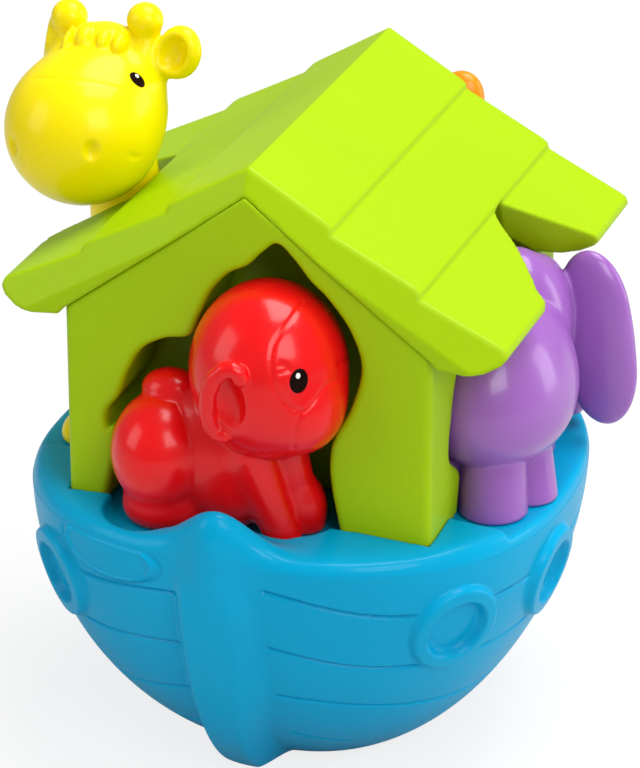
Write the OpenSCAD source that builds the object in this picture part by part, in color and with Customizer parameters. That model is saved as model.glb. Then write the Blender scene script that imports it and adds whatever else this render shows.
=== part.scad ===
/* [House] */
// Width of the house across its side walls
house_w = 112; // [104:1:118]
// Depth of the house from the front wall to the rear wall
house_d = 121.4; // [118:0.2:124]
// Height of the side walls above the deck
wall_h = 56.6; // [54:0.2:60]
// Height of the roof ridge above the deck
ridge_h = 106.7; // [102:0.1:110]
// Width of the roof across its eaves
roof_w = 154.8; // [148:0.2:160]
// Thickness of the moulded house skin
skin = 2.6; // [2:0.1:3]

/* [Hull] */
// Width of the hull at its widest line
hull_w = 163; // [158:1:172]
// Length of the hull from the stem side to the stern
hull_len = 172; // [168:1:180]
// Height of the deck plane above the surface the boat stands on
deck_z = 87; // [80:1:95]
// Thickness of the hull shell
hull_t = 2.6; // [2:0.1:3.4]
// How far the stem stands out from the hull
stem_out = 5; // [3:0.5:7]
// Outer radius of a porthole ring
porthole_r = 13.5; // [11:0.5:15]

/* [Animals] */
// Gap between each animal's feet and the floor it stands on
foot_gap = 0.3; // [0.2:0.1:0.6]
// Outer radius of the plug that closes each animal's moulding
plug_r = 6; // [5:0.5:7]

/* [Fasteners] */
// Radius of a screw's shank
screw_r = 1.5; // [1.3:0.1:1.8]
// Radius of a screw's head
screw_head_r = 3.2; // [2.8:0.1:3.6]

/* [Hidden] */

blue = [0, 0.56, 0.78];
lime = [0.6, 0.78, 0.05];
red = [0.9, 0.08, 0.1];
purple = [0.56, 0.33, 0.68];
yellow = [0.98, 0.92, 0.05];
orange = [0.98, 0.58, 0.08];
steel = [0.7, 0.7, 0.72];

// The front of the toy faces -Y, and the house stands over the origin.
house_front = -63.4;
house_back = house_front + house_d;
recess_z = deck_z - 4;
foot_z = recess_z + foot_gap;

// Hull plan: a rounded squarish oval whose rear half is a little longer than its front half.
hull_cy = -8;
hull_rx = hull_w / 2;
hull_front_ry = hull_len / 2 - 4;
hull_back_ry = hull_len / 2 + 4;
plan_power = 2.3;
belly_power = 1.92;
keel_z = -11.5;
rim_drop = 5.5;
rim_lift = 3.5;
band_h = 2.2;
ledge_drop = 1.2;
stem_half_w = 12;

// Angles round the plan: coarse steps, with finer ones across the stem at 270 degrees.
fine_half = 12;
plan_angles = concat([for (a = [-90 + fine_half : 6 : 270 - fine_half - 1]) a],
                     [for (a = [270 - fine_half : 2 : 270 + fine_half - 1]) a]);

function signed_power(v, p) = sign(v) * pow(abs(v), p);
function plan_ry(a) = sin(a) < 0 ? hull_front_ry : hull_back_ry;
function plan_x(a, k, inset) = (hull_rx * k - inset) * signed_power(cos(a), 2 / plan_power);
function plan_y(a, k, inset) = hull_cy + (plan_ry(a) * k - inset) * signed_power(sin(a), 2 / plan_power);
function end_share(a) = pow(abs(sin(a)), 2);
function rim_z(a) = deck_z - rim_drop + rim_lift * end_share(a);
function ledge_z(a) = deck_z - ledge_drop + 0.8 * end_share(a);
function seam_z(a) = rim_z(a) - band_h;

// The stem's cross-section: 1 on the centre line, 0 beyond its half width.
function stem_share(x) = abs(x) < stem_half_w ? pow(cos(90 * pow(abs(x) / stem_half_w, 2)), 0.8) : 0;
function at_front(a) = sin(a) < 0 ? 1 : 0;

// The belly curve: the share of the full plan that is left at depth share u below the rim.
function belly_k(u) = pow(1 - pow(u, belly_power), 1 / belly_power);
function belly_u(z) = (deck_z - rim_drop - z) / (deck_z - rim_drop - keel_z);

function hull_ring(z, inset, bump, groove = 0) =
    let (k = belly_k(max(0, belly_u(z))))
    [for (a = plan_angles)
        let (stem = at_front(a) * stem_share(plan_x(a, k, inset)), cut = inset + groove * (1 - stem))
        [plan_x(a, k, cut), plan_y(a, k, cut) - bump * stem, z]];
function seam_ring(inset, bump) =
    [for (a = plan_angles)
        let (x = plan_x(a, 1, inset))
        [x, plan_y(a, 1, inset) - at_front(a) * bump * stem_share(x), seam_z(a)]];

// Closed solid through a list of rings with equal point counts, listed from the first cap to the last.
module loft(rings) {
    n = len(rings[0]);
    count = len(rings);
    points = [for (r = rings) for (p = r) p];
    sides = [for (j = [0 : count - 2]) for (i = [0 : n - 1])
        let (i2 = (i + 1) % n)
        each [[j * n + i, (j + 1) * n + i, (j + 1) * n + i2], [j * n + i, (j + 1) * n + i2, j * n + i2]]];
    first_cap = [for (i = [0 : n - 1]) i];
    last_cap = [for (i = [n - 1 : -1 : 0]) (count - 1) * n + i];
    polyhedron(points = points, faces = concat([first_cap], sides, [last_cap]), convexity = 6);
}

// Ellipsoid by centre, radii and an optional rotation.
module ell(c, r, turn = [0, 0, 0]) {
    translate(c) rotate(turn) scale(r) sphere(r = 1, $fn = 40);
}

// Tapered limb between two points, both of which lie inside or below other material.
module limb(from, to, r1, r2) {
    v = to - from;
    translate(from) rotate([0, acos(v[2] / norm(v)), atan2(v[1], v[0])])
        cylinder(r1 = r1, r2 = r2, h = norm(v), $fn = 32);
}

// Keeps what stands above the feet's plane.
module above_floor() {
    difference() {
        children();
        translate([-120, -120, foot_z - 40]) cube([240, 240, 40]);
    }
}

// Prism along Y from a wall face inward, by its XZ outline pieces.
module disc_y(x, z, r, y0, y1) {
    translate([x, y1, z]) rotate([90, 0, 0]) cylinder(r = r, h = y1 - y0, $fn = 64);
}
module disc_x(y, z, r, x0, x1) {
    translate([x0, y, z]) rotate([0, 90, 0]) cylinder(r = r, h = x1 - x0, $fn = 64);
}
module box(lo, hi) {
    translate(lo) cube(hi - lo);
}
module gable_y(points, y0, y1) {
    translate([0, y1, 0]) rotate([90, 0, 0]) linear_extrude(height = y1 - y0) polygon(points);
}
module gable_x(points, x0, x1) {
    translate([x0, 0, 0]) rotate([90, 0, 90]) linear_extrude(height = x1 - x0) polygon(points);
}

// Pockets: each follows its animal's outline and runs straight out through wall and roof.
// The grow value adds skin round the pocket.
pocket_front_y = -34;
pocket_back_y = 31;
pocket_right_x = 33.5;
pocket_left_x = -38;
pocket_reach = 110;

module monkey_pocket(grow = 0) {
    y0 = -pocket_reach;
    y1 = pocket_front_y + grow;
    disc_y(9, deck_z + 50.5, 27 + grow, y0, y1);
    gable_y([[-12.5 - grow, deck_z + 66], [-3.4 - grow, deck_z + 76.3 + grow * 0.7], [9, deck_z + 86.3 + grow * 1.3],
             [19.9 + grow, deck_z + 76 + grow * 0.7], [28 + grow, deck_z + 66]], y0, y1);
    disc_y(-24, deck_z + 27, 20 + grow, y0, y1);
    disc_y(-26, deck_z + 38.5, 12.5 + grow, y0, y1);
    box([-40 - grow, y0, deck_z - 20], [26 + grow, y1, deck_z + 34]);
    box([-20, y0, deck_z + 20], [20, y1, deck_z + 46]);
}

module elephant_pocket(grow = 0) {
    x0 = pocket_right_x - grow;
    x1 = pocket_reach;
    disc_x(-11.5, deck_z + 22, 34.6 + grow, x0, x1);
    disc_x(11, deck_z + 36, 31 + grow, x0, x1);
    gable_x([[-31 - grow, deck_z + 44], [-21.6 - grow, deck_z + 60.5 + grow], [-7, deck_z + 66.3 + grow],
             [2, deck_z + 69.6 + grow], [13.5, deck_z + 76.5 + grow], [21, deck_z + 71 + grow],
             [29, deck_z + 65.6 + grow], [36.8 + grow, deck_z + 61 + grow], [42 + grow, deck_z + 44]], x0, x1);
    box([x0, -36.6 - grow, deck_z - 20], [x1, 49.5 + grow, deck_z + 36]);
}

module giraffe_pocket(grow = 0) {
    x0 = -pocket_reach;
    x1 = pocket_left_x + grow;
    disc_x(0.5, deck_z + 54, 29.5 + grow, x0, x1);
    box([x0, -31.4 - grow, deck_z - 20], [x1, 34 + grow, deck_z + 54]);
}

module lion_pocket(grow = 0) {
    y0 = pocket_back_y - grow;
    y1 = pocket_reach;
    disc_y(0, deck_z + 57, 30.5 + grow, y0, y1);
    box([-30.5 - grow, y0, deck_z - 20], [30.5 + grow, y1, deck_z + 57]);
}

module all_pockets(grow = 0) {
    monkey_pocket(grow);
    elephant_pocket(grow);
    giraffe_pocket(grow);
    lion_pocket(grow);
}

// House outline across X: walls and the gable under the roof.
gable_peak = ridge_h - 8.1;
gable_eave = wall_h;
function house_outline(inset) =
    let (half = house_w / 2 - inset, foot = recess_z)
    [[-half, foot], [half, foot], [half, deck_z + gable_eave - inset * 0.6],
     [0, deck_z + gable_peak - inset * 1.3], [-half, deck_z + gable_eave - inset * 0.6]];

// Screw posts stand inside the core of the house, between the pockets.
post_xs = [-21, 17];
post_ys = [-22, 16];
post_r = 5.2;
post_top = deck_z + 12;
pilot_r = screw_r - 0.15;

module at_posts() {
    for (x = post_xs)
        for (y = post_ys)
            translate([x, y, 0]) children();
}

module house_walls() {
    color(lime) difference() {
        union() {
            difference() {
                gable_y(house_outline(0), house_front, house_back);
                difference() {
                    gable_y(concat([[-house_w / 2 + skin, 0], [house_w / 2 - skin, 0]],
                                   [for (i = [2:4]) house_outline(skin)[i]]),
                            house_front + skin, house_back - skin);
                    all_pockets(skin);
                }
            }
            at_posts() translate([0, 0, recess_z]) cylinder(r = post_r, h = post_top - recess_z, $fn = 32);
            for (y = post_ys) {
                box([pocket_left_x + 1, y - 1, recess_z], [post_xs[0], y + 1, post_top]);
                box([post_xs[1], y - 1, recess_z], [pocket_right_x - 1, y + 1, post_top]);
            }
        }
        all_pockets();
        at_posts() translate([0, 0, recess_z - 1])
            cylinder(r = pilot_r, h = post_top - recess_z - 2, $fn = 24);
    }
}

// Roof: three planks a side, each lapping over the next, on a slab that thins out at the eaves.
// The ends lean: the roof is shorter along its top than along its lower edges.
roof_end = 64.2;
roof_top_end = 59;
end_depth = 9;
eave_z = deck_z + 60.6;
slope = (deck_z + ridge_h - eave_z) / (roof_w / 2);
pitch = atan(slope);
function over(x, up) = [x, deck_z + ridge_h - slope * x + up];
function roof_side(s) =
    [for (p = [over(2, 1.1), over(22.6, 0), over(24.4, -0.7), over(26.8, -3), over(47.8, -0.9), over(50, -1.6),
               over(53.2, -3.4), over(75, 0.2), over(77, -0.2), over(77.4, -1), over(76.6, -2.8), over(73, -5.6),
               [roof_w / 2 - 11, deck_z + 55], [house_w / 2 + 0.4, deck_z + 55.4]]) [s * p[0], p[1]]];
function mirrored(points) = [for (i = [len(points) - 1 : -1 : 0]) points[i]];

// Cuts one leaning end off one slope.
module end_cut(s, e) {
    lean = atan((roof_end - roof_top_end) / end_depth);
    mirror([s < 0 ? 1 : 0, 0, 0]) mirror([0, e > 0 ? 1 : 0, 0])
        translate([0, -roof_top_end, deck_z + ridge_h + 0.4]) rotate([0, pitch, 0])
            rotate([-lean, 0, 0]) translate([-40, -30, -30]) cube([160, 30, 60]);
}

module roof() {
    half = house_w / 2;
    outline = concat(roof_side(1),
                     [[half, deck_z + gable_eave], [0, deck_z + gable_peak], [-half, deck_z + gable_eave]],
                     mirrored(roof_side(-1)));
    color(lime) difference() {
        gable_y(outline, -roof_end, roof_end);
        elephant_pocket();
        giraffe_pocket();
        for (s = [-1, 1])
            for (e = [-1, 1])
                end_cut(s, e);
    }
}

// Hull: one loft up the outside, over the rim and down the inside.
// A shallow groove runs round the outside under each plank and stops at the stem.
plank_levels = [26, 47.6, 66];

// Ring levels are written for a deck at this height and spread evenly over any other.
levels_deck_z = 87;
function spread(z) = z * deck_z / levels_deck_z;

plank_groove = 0.8;
groove_half = 0.9;
smooth_levels = [[0, 3, 8, 15, 21], [33, 40], [53, 59.5], [71.5, 76.5]];
function plank_rings(z) =
    [for (d = [-1, 0, 1]) hull_ring(z + d * groove_half, 0, stem_bump(z), d == 0 ? plank_groove : 0)];
function smooth_rings(levels) =
    [for (z = levels) hull_ring(spread(z), 0, z < 3 ? 0 : stem_bump(spread(z)))];
inner_levels = [74, 62, 48, 34, 22, 12, 5];
function stem_bump(z) = stem_out + 8 * pow(1 - min(1, z / 60), 2);

module hull_shell() {
    loft(concat([for (i = [0 : 3]) each concat(smooth_rings(smooth_levels[i]),
                                               i < 3 ? plank_rings(spread(plank_levels[i])) : [])],
                [seam_ring(0, stem_out)],
                [seam_ring(hull_t, 0)],
                [for (z = inner_levels) hull_ring(spread(z), hull_t, 0)],
                [hull_ring(hull_t, hull_t, 0)]));
}

// Portholes stand square to the hull side, at equal heights on both sides.
porthole_z = deck_z - 27;
porthole_angles = [-38, -5, 38, 142, 185, 226];
porthole_h = 3.4;

module at_portholes() {
    k = belly_k(belly_u(porthole_z));
    for (a = porthole_angles)
        translate([plan_x(a, k, 0), plan_y(a, k, 0), porthole_z])
            rotate([0, 0, atan2(hull_rx * sin(a), plan_ry(a) * cos(a))])
                rotate([0, 90 + 17, 0]) children();
}

module porthole_ring() {
    difference() {
        translate([0, 0, -porthole_h + 1.3]) cylinder(r = porthole_r, h = porthole_h, $fn = 48);
        translate([0, 0, -porthole_h]) cylinder(r = porthole_r * 0.62, h = porthole_h * 2, $fn = 48);
    }
}

counterbore_top = deck_z - 19;
post_seat = deck_z - 9;

module hull() {
    color(blue) difference() {
        union() {
            hull_shell();
            at_portholes() porthole_ring();
            at_posts() translate([0, 0, 1]) cylinder(r = 6.2, h = post_seat - 1, $fn = 32);
        }
        at_posts() translate([0, 0, -1]) cylinder(r = screw_head_r + 0.6, h = counterbore_top + 1, $fn = 32);
        at_posts() translate([0, 0, -1]) cylinder(r = screw_r + 0.2, h = deck_z, $fn = 24);
    }
}

// Deck: a domed lid that rests on the hull's edge and carries the house and the animals' feet.
function deck_ring(inset, share) =
    [for (a = plan_angles)
        let (x = plan_x(a, 1, inset), low = rim_z(a), high = ledge_z(a))
        [x, plan_y(a, 1, inset) - at_front(a) * stem_out * stem_share(x) * (1 - share * 0.5),
         low + (high - low) * share + at_front(a) * stem_share(x) * 11 * share * (inset < 9 ? 1 : 0)]];
function deck_flat(inset, z) = [for (a = plan_angles) [plan_x(a, 1, inset), plan_y(a, 1, inset), z]];
seat_gap = 0.06;
function lifted(ring) = [for (p = ring) p + [0, 0, seat_gap]];
function seat_ring(inset) = lifted([for (a = plan_angles) [plan_x(a, 1, inset), plan_y(a, 1, inset), seam_z(a)]]);
function deck_seam() = lifted(seam_ring(0, stem_out));

deck_bottom = deck_z - 9;
lip_inset = hull_t + 0.3;

// A side well keeps a low lip at the rim, over which its animal slides out.
module well(lo, hi, lip_z) {
    intersection() {
        box([lo[0], lo[1], recess_z], [hi[0], hi[1], deck_z + 20]);
        translate([0, 0, recess_z - 1]) linear_extrude(height = 30)
            polygon([for (a = plan_angles) [plan_x(a, 1, 5.5), plan_y(a, 1, 5.5)]]);
    }
    box([lo[0], lo[1], lip_z], [hi[0], hi[1], deck_z + 20]);
}

module wells() {
    translate([-26, -66.5, recess_z]) cylinder(r = 16, h = 30, $fn = 48);
    translate([14, -60, recess_z]) cylinder(r = 11.8, h = 30, $fn = 48);
    box([-24, -71.8, recess_z], [14, -60, deck_z + 20]);
    well([house_w / 2 - 6, -44.5], [92, 45], recess_z);
    well([-92, -36], [6 - house_w / 2, 38], recess_z + 0.2);
    well([-30.5, 50], [30.5, 92], recess_z + 1);
}

module deck() {
    clear = 0.15;
    color(blue) difference() {
        loft([deck_flat(lip_inset, deck_bottom), seat_ring(lip_inset), deck_seam(),
              deck_ring(0, 0), deck_ring(1, 0.55), deck_ring(3, 0.9), deck_ring(5.5, 1), deck_ring(9.5, 1),
              deck_flat(26, deck_z)]);
        box([-house_w / 2 - clear, house_front - clear, recess_z],
            [house_w / 2 + clear, house_back + clear, deck_z + 20]);
        wells();
        at_posts() translate([0, 0, deck_bottom - 1]) cylinder(r = screw_r + 0.2, h = 30, $fn = 24);
    }
}

module base_screws() {
    head_z = counterbore_top - 2;
    color(steel) at_posts() difference() {
        union() {
            translate([0, 0, head_z]) cylinder(r = screw_head_r, h = 2, $fn = 32);
            translate([0, 0, head_z]) cylinder(r = pilot_r, h = post_top - head_z - 4, $fn = 24);
        }
        for (turn = [0, 90])
            rotate([0, 0, turn]) translate([-1.9, -0.45, head_z - 1]) cube([3.8, 0.9, 2.2]);
    }
}

// Plug seat in the underside of an animal, and the plug that fills it.
plug_t = 2.4;
module plug_seat(x, y, z) {
    translate([x, y, z - 3]) cylinder(r = plug_r + 0.1, h = plug_t + 3, $fn = 40);
    translate([x, y, z]) cylinder(r = plug_r - 1.2, h = 9, $fn = 40);
}
module plug(x, y, z) {
    translate([x, y, z]) cylinder(r = plug_r, h = plug_t, $fn = 40);
    translate([x, y, z]) cylinder(r = plug_r - 1.4, h = 6, $fn = 40);
}

// Monkey: sits across the front pocket, rump to the left, face turned right.
monkey_head = [7.3, -63.2, deck_z + 47.5];
monkey_head_r = [23.1, 23.1, 26.7];
monkey_plug_at = [-26, -65, foot_z];

module monkey() {
    color(red) difference() {
        above_floor() {
            ell(monkey_head, monkey_head_r);
            ell(monkey_head + [13, -8.5, -8], [10.5, 11, 11.5]);
            ell(monkey_head + [-5.4, -21.6, -1], [6.5, 5, 11], [0, 0, -14]);
            ell(monkey_head + [5.2, 20.5, -1], [6, 4, 10], [0, 0, -14]);
            ell([-8, -61.5, deck_z + 18], [28, 14.6, 21.5]);
            ell([-24, -65, deck_z + 18.5], [15.2, 17, 17.6]);
            ell([-24, -61, deck_z + 36], [8.5, 7, 6]);
            ell([-26, -67, deck_z], [12.8, 10.5, 7]);
            limb([4, -69, deck_z + 28], [18, -58.5, deck_z - 6], 5, 6);
            limb([10, -53, deck_z + 28], [19, -49, deck_z - 6], 5, 6);
        }
        ell(monkey_head, monkey_head_r - [2.5, 2.5, 2.5]);
        ell([-8, -61.5, deck_z + 18.5], [25, 12, 18.5]);
        plug_seat(monkey_plug_at[0], monkey_plug_at[1], monkey_plug_at[2]);
    }
}
module monkey_plug() {
    color(red) plug(monkey_plug_at[0], monkey_plug_at[1], monkey_plug_at[2]);
}

// Elephant: rump to the front, head to the rear, one ear out beyond the hull.
elephant_body = [60, -11, deck_z + 31];
elephant_head = [56.5, 18, deck_z + 35.5];
elephant_plug_at = [58, -10, deck_z + 7.6];

module elephant() {
    color(purple) difference() {
        above_floor() {
            ell(elephant_body, [21.5, 31, 24]);
            ell(elephant_head, [18.5, 22.5, 26.5]);
            ell([79.5, 26, deck_z + 30.5], [12.3, 6, 28], [0, -8, 0]);
            ell([70, 24.5, deck_z + 28], [8, 5, 12]);
            ell([42, 27, deck_z + 30], [6, 5, 18]);
            limb([63.5, -26.5, deck_z + 20], [65, -30.2, deck_z - 6], 9.5, 10.5);
            limb([61, 8, deck_z + 20], [62.5, 7, deck_z - 6], 8.6, 9.4);
            limb([48, -24, deck_z + 20], [46, -26, deck_z - 6], 8.6, 9.4);
            limb([47, 9, deck_z + 20], [45, 10, deck_z - 6], 8.6, 9.4);
            ell([57, 37, deck_z + 22], [9, 9, 12]);
            ell([62, 40, deck_z + 11], [7.5, 7.5, 9]);
            ell([68, 36, deck_z + 5], [6, 6, 6]);
        }
        ell(elephant_body + [-1.5, 6, 0.5], [16.5, 30, 19.5]);
        plug_seat(elephant_plug_at[0], elephant_plug_at[1], elephant_plug_at[2]);
    }
}
module elephant_plug() {
    color(purple) plug(elephant_plug_at[0], elephant_plug_at[1], elephant_plug_at[2]);
}

// Giraffe: body in the left pocket, neck up through the eave, head turned to the front.
giraffe_body = [-60, 1.5, deck_z + 22];
giraffe_head = [-69, -15, deck_z + 93];
giraffe_head_r = [23.4, 24, 23.6];
giraffe_skull = [-65, -3, deck_z + 95];
giraffe_crown = [-66.1, -2, deck_z + 123.6];
giraffe_side = [12.1, 0, 0.9];
giraffe_plug_at = [-58, 2, foot_z];

module giraffe() {
    color(yellow) difference() {
        above_floor() {
            ell(giraffe_body, [19, 29, 25]);
            ell([-67, -20, deck_z + 6], [9, 12, 10]);
            ell([-66, 18, deck_z + 10], [10, 13, 15]);
            limb([-61, 2, deck_z + 34], [-64, 0.5, deck_z + 90], 12, 10);
            ell(giraffe_head, giraffe_head_r);
            ell(giraffe_skull, [16.5, 16.5, 17]);
            ell(giraffe_crown + [0.6, -2, -8.5], [9.6, 7, 7.5]);
            for (s = [-1, 1]) {
                horn = giraffe_crown + s * giraffe_side;
                ear = giraffe_crown + s * [21.4, -1, -0.4] + [0, 4, -8.4];
                limb(horn + [0, -3, -18], horn, 4.4, 3);
                translate(horn) sphere(r = 5.4, $fn = 32);
                limb(giraffe_skull + [s * 8, 0, 8], ear, 5.4, 3.6);
                difference() {
                    ell(ear, [7, 4.6, 7.8], [0, s * 20, 0]);
                    ell(ear + [s * 0.6, -4.4, 0], [4.6, 3.6, 5.4], [0, s * 20, 0]);
                }
            }
        }
        ell(giraffe_head, giraffe_head_r - [2.6, 2.6, 2.6]);
        ell(giraffe_body, [16.4, 26.4, 22.4]);
        plug_seat(giraffe_plug_at[0], giraffe_plug_at[1], giraffe_plug_at[2]);
    }
}
module giraffe_plug() {
    color(yellow) plug(giraffe_plug_at[0], giraffe_plug_at[1], giraffe_plug_at[2]);
}

// Lion: sits in the rear pocket and looks out over the stern.
lion_head = [0, 66, deck_z + 57];
lion_plug_at = [0, 56, foot_z];

module lion() {
    color(orange) difference() {
        above_floor() {
            ell([0, 58, deck_z + 20], [23.5, 18, 26]);
            ell([0, 63, deck_z + 57], [26.5, 14, 26.5]);
            ell(lion_head, [21.5, 20, 21]);
            ell(lion_head + [0, 17, -6], [10, 8, 7.5]);
            for (s = [-1, 1]) {
                ell([s * 18, 71, deck_z + 80.5], [8.4, 5.6, 12], [0, s * 20, 0]);
                ell([s * 17, 60, deck_z + 11], [9.5, 14, 15]);
                limb([s * 7, 64, deck_z + 26], [s * 8, 67.5, deck_z - 6], 5, 6.5);
            }
        }
        ell([0, 58, deck_z + 20], [21, 15.5, 23.5]);
        ell(lion_head, [19, 17.5, 18.5]);
        plug_seat(lion_plug_at[0], lion_plug_at[1], lion_plug_at[2]);
    }
}
module lion_plug() {
    color(orange) plug(lion_plug_at[0], lion_plug_at[1], lion_plug_at[2]);
}

hull();
deck();
house_walls();
roof();
base_screws();
monkey();
monkey_plug();
elephant();
elephant_plug();
giraffe();
giraffe_plug();
lion();
lion_plug();
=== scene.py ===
import bpy
import math
import numpy as np
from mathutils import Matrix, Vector
from mathutils.geometry import delaunay_2d_cdt


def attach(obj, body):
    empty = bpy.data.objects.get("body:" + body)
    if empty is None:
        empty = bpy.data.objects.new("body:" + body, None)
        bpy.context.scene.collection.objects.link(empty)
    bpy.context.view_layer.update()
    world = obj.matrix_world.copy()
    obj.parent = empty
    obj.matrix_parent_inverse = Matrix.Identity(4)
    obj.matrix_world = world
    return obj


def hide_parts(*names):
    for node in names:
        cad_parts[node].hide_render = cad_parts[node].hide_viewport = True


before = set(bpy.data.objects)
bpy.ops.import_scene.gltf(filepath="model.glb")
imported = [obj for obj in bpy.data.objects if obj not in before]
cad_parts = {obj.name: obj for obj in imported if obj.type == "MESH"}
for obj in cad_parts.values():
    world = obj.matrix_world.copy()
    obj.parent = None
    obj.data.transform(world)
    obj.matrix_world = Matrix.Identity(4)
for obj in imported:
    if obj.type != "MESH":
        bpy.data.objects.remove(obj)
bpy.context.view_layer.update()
F32 = np.float32

# Shapes are in millimetres in the CAD's frame, with the floor at z = 0 and the deck's plane at z = DECK.
# The animals stand at FEET in the deck's wells.
DECK = 87.0
FEET = DECK - 3.7
MM = 0.001

# Camera, as fitted to the photograph; CAM_FOCAL is in pixels. A pixel is (across, down) from the top left.
VIEW_W, VIEW_H = 640, 768
CAM_AZ, CAM_EL = 19.8, 24.8
CAM_DISTANCE, CAM_FOCAL = 1280.0, 4238.3
CAM_TARGET = np.array([0.0, 0.0, DECK + 14.0])
az, el = math.radians(CAM_AZ), math.radians(CAM_EL)
CAM_BACK = np.array([math.sin(az) * math.cos(el), -math.cos(az) * math.cos(el), math.sin(el)])
CAM_RIGHT = np.array([math.cos(az), math.sin(az), 0.0])
CAM_UP = np.cross(CAM_BACK, CAM_RIGHT)
CAM_EYE = CAM_TARGET + CAM_DISTANCE * CAM_BACK
SIGHT_START, SIGHT_END = 1000.0, 1700.0


def ray(px):
    """Direction of the camera's line of sight through a pixel."""
    v = CAM_RIGHT * (px[0] - VIEW_W / 2) / CAM_FOCAL - CAM_UP * (px[1] - VIEW_H / 2) / CAM_FOCAL - CAM_BACK
    return v / np.linalg.norm(v)


def value_at(field, p):
    """The field's value at one point."""
    return float(field(*(F32(c) for c in p)))


def on_surface(px, field):
    """Where the line of sight through a pixel first meets the field's surface; None where it passes by."""
    v = ray(px)
    t = SIGHT_START
    while t < SIGHT_END:
        p = CAM_EYE + v * t
        d = value_at(field, p)
        if d < 0.01:
            return p
        t += max(0.6 * d, 0.01)
    return None


# Distance fields: each gives the distance outside its surface, negative inside, over arrays of x, y and z
def ell(x, y, z, c, r, rot=None):
    """Ellipsoid of radii r at c, its axes being the columns of rot."""
    dx, dy, dz = x - F32(c[0]), y - F32(c[1]), z - F32(c[2])
    if rot is not None:
        dx, dy, dz = (rot[0][i] * dx + rot[1][i] * dy + rot[2][i] * dz for i in range(3))
    ax, ay, az = dx / F32(r[0]), dy / F32(r[1]), dz / F32(r[2])
    k0 = np.sqrt(ax * ax + ay * ay + az * az) + F32(1e-6)
    bx, by, bz = ax / F32(r[0]), ay / F32(r[1]), az / F32(r[2])
    k1 = np.sqrt(bx * bx + by * by + bz * bz) + F32(1e-6)
    return k0 * (k0 - F32(1)) / k1


def blobs(x, y, z, rows, f=None):
    """Ellipsoids joined in turn, to f where it is given. A row is a centre, radii and the blend's width."""
    for centre, radii, blend in rows:
        e = ell(x, y, z, centre, radii)
        f = e if f is None else smin(f, e, blend)
    return f


def rotm(rx=0.0, ry=0.0, rz=0.0):
    """Rotation matrix of turns about x, then y, then z, in degrees."""
    a, b, c = (math.radians(v) for v in (rx, ry, rz))
    mx = np.array([[1, 0, 0], [0, math.cos(a), -math.sin(a)], [0, math.sin(a), math.cos(a)]])
    my = np.array([[math.cos(b), 0, math.sin(b)], [0, 1, 0], [-math.sin(b), 0, math.cos(b)]])
    mz = np.array([[math.cos(c), -math.sin(c), 0], [math.sin(c), math.cos(c), 0], [0, 0, 1]])
    return (mz @ my @ mx).astype(F32)


def from_line(x, y, z, a, b):
    """Square of the distance to the line from a to b, and the nearest point's place along it, from 0 to 1."""
    e = b - a
    px, py, pz = x - F32(a[0]), y - F32(a[1]), z - F32(a[2])
    h = np.clip((px * F32(e[0]) + py * F32(e[1]) + pz * F32(e[2])) / F32(e @ e), 0, 1)
    dx, dy, dz = px - h * F32(e[0]), py - h * F32(e[1]), pz - h * F32(e[2])
    return dx * dx + dy * dy + dz * dz, h


def cone(x, y, z, a, b, ra, rb):
    """Round-ended cone from a, of radius ra, to b, of radius rb."""
    d, h = from_line(x, y, z, np.array(a, float), np.array(b, float))
    return np.sqrt(d) - (F32(ra) + h * F32(rb - ra))


def rbox(x, y, z, lo, hi, r):
    """Box between two corners, its edges rounded by r."""
    out, inner = F32(0), F32(-1e6)
    for v, l, h in ((x, lo[0], hi[0]), (y, lo[1], hi[1]), (z, lo[2], hi[2])):
        q = np.abs(v - F32((l + h) / 2)) - F32((h - l) / 2 - r)
        out = out + np.maximum(q, 0) ** 2
        inner = np.maximum(inner, q)
    return np.sqrt(out) + np.minimum(inner, 0) - F32(r)


def circle_field(x, y, cx, cy, r):
    """Upright round post of radius r."""
    return np.sqrt((x - F32(cx)) ** 2 + (y - F32(cy)) ** 2) - F32(r)


def block_field(x, y, cx, cy, rx, ry):
    """Upright square post, rx and ry from its middle to its sides."""
    return np.maximum(np.abs(x - F32(cx)) - F32(rx), np.abs(y - F32(cy)) - F32(ry))


def smin(a, b, k):
    """Union of two fields, blended over k."""
    h = np.maximum(F32(k) - np.abs(a - b), 0) / F32(k)
    return np.minimum(a, b) - h * h * F32(k * 0.25)


def smax(a, b, k):
    """Intersection of two fields, its edge rounded over k."""
    return -smin(-a, -b, k)


def polygon2(u, v, pts):
    """Signed distance to a closed outline in a plane."""
    pts = np.array(pts, dtype=F32)
    d, s = F32(1e12), F32(1)
    for i in range(len(pts)):
        a, b = pts[i], pts[i - 1]
        e = b - a
        wu, wv = u - a[0], v - a[1]
        h = np.clip((wu * e[0] + wv * e[1]) / (e[0] * e[0] + e[1] * e[1] + F32(1e-9)), 0, 1)
        du, dv = wu - e[0] * h, wv - e[1] * h
        d = np.minimum(d, du * du + dv * dv)
        above, below = v >= a[1], v < b[1]
        left = e[0] * wv > e[1] * wu
        s = np.where((above & below & left) | (~above & ~below & ~left), -s, s)
    return s * np.sqrt(d)


def smooth_outline(pts, steps=5):
    """Closed rounded outline through the given points (a Catmull-Rom spline)."""
    p = np.array(pts, float)
    n = len(p)
    out = []
    for i in range(n):
        p0, p1, p2, p3 = (p[(i + k) % n] for k in (-1, 0, 1, 2))
        for k in range(steps):
            t = k / steps
            out.append(0.5 * ((2 * p1) + (-p0 + p2) * t + (2 * p0 - 5 * p1 + 4 * p2 - p3) * t * t
                              + (-p0 + 3 * p1 - 3 * p2 + p3) * t ** 3))
    return np.array(out)


def line_distance(x, y, z, pts):
    """Distance to a chain of points in space."""
    d = F32(1e12)
    for a, b in zip(pts[:-1], pts[1:]):
        d = np.minimum(d, from_line(x, y, z, a, b)[0])
    return np.sqrt(d)


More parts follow.
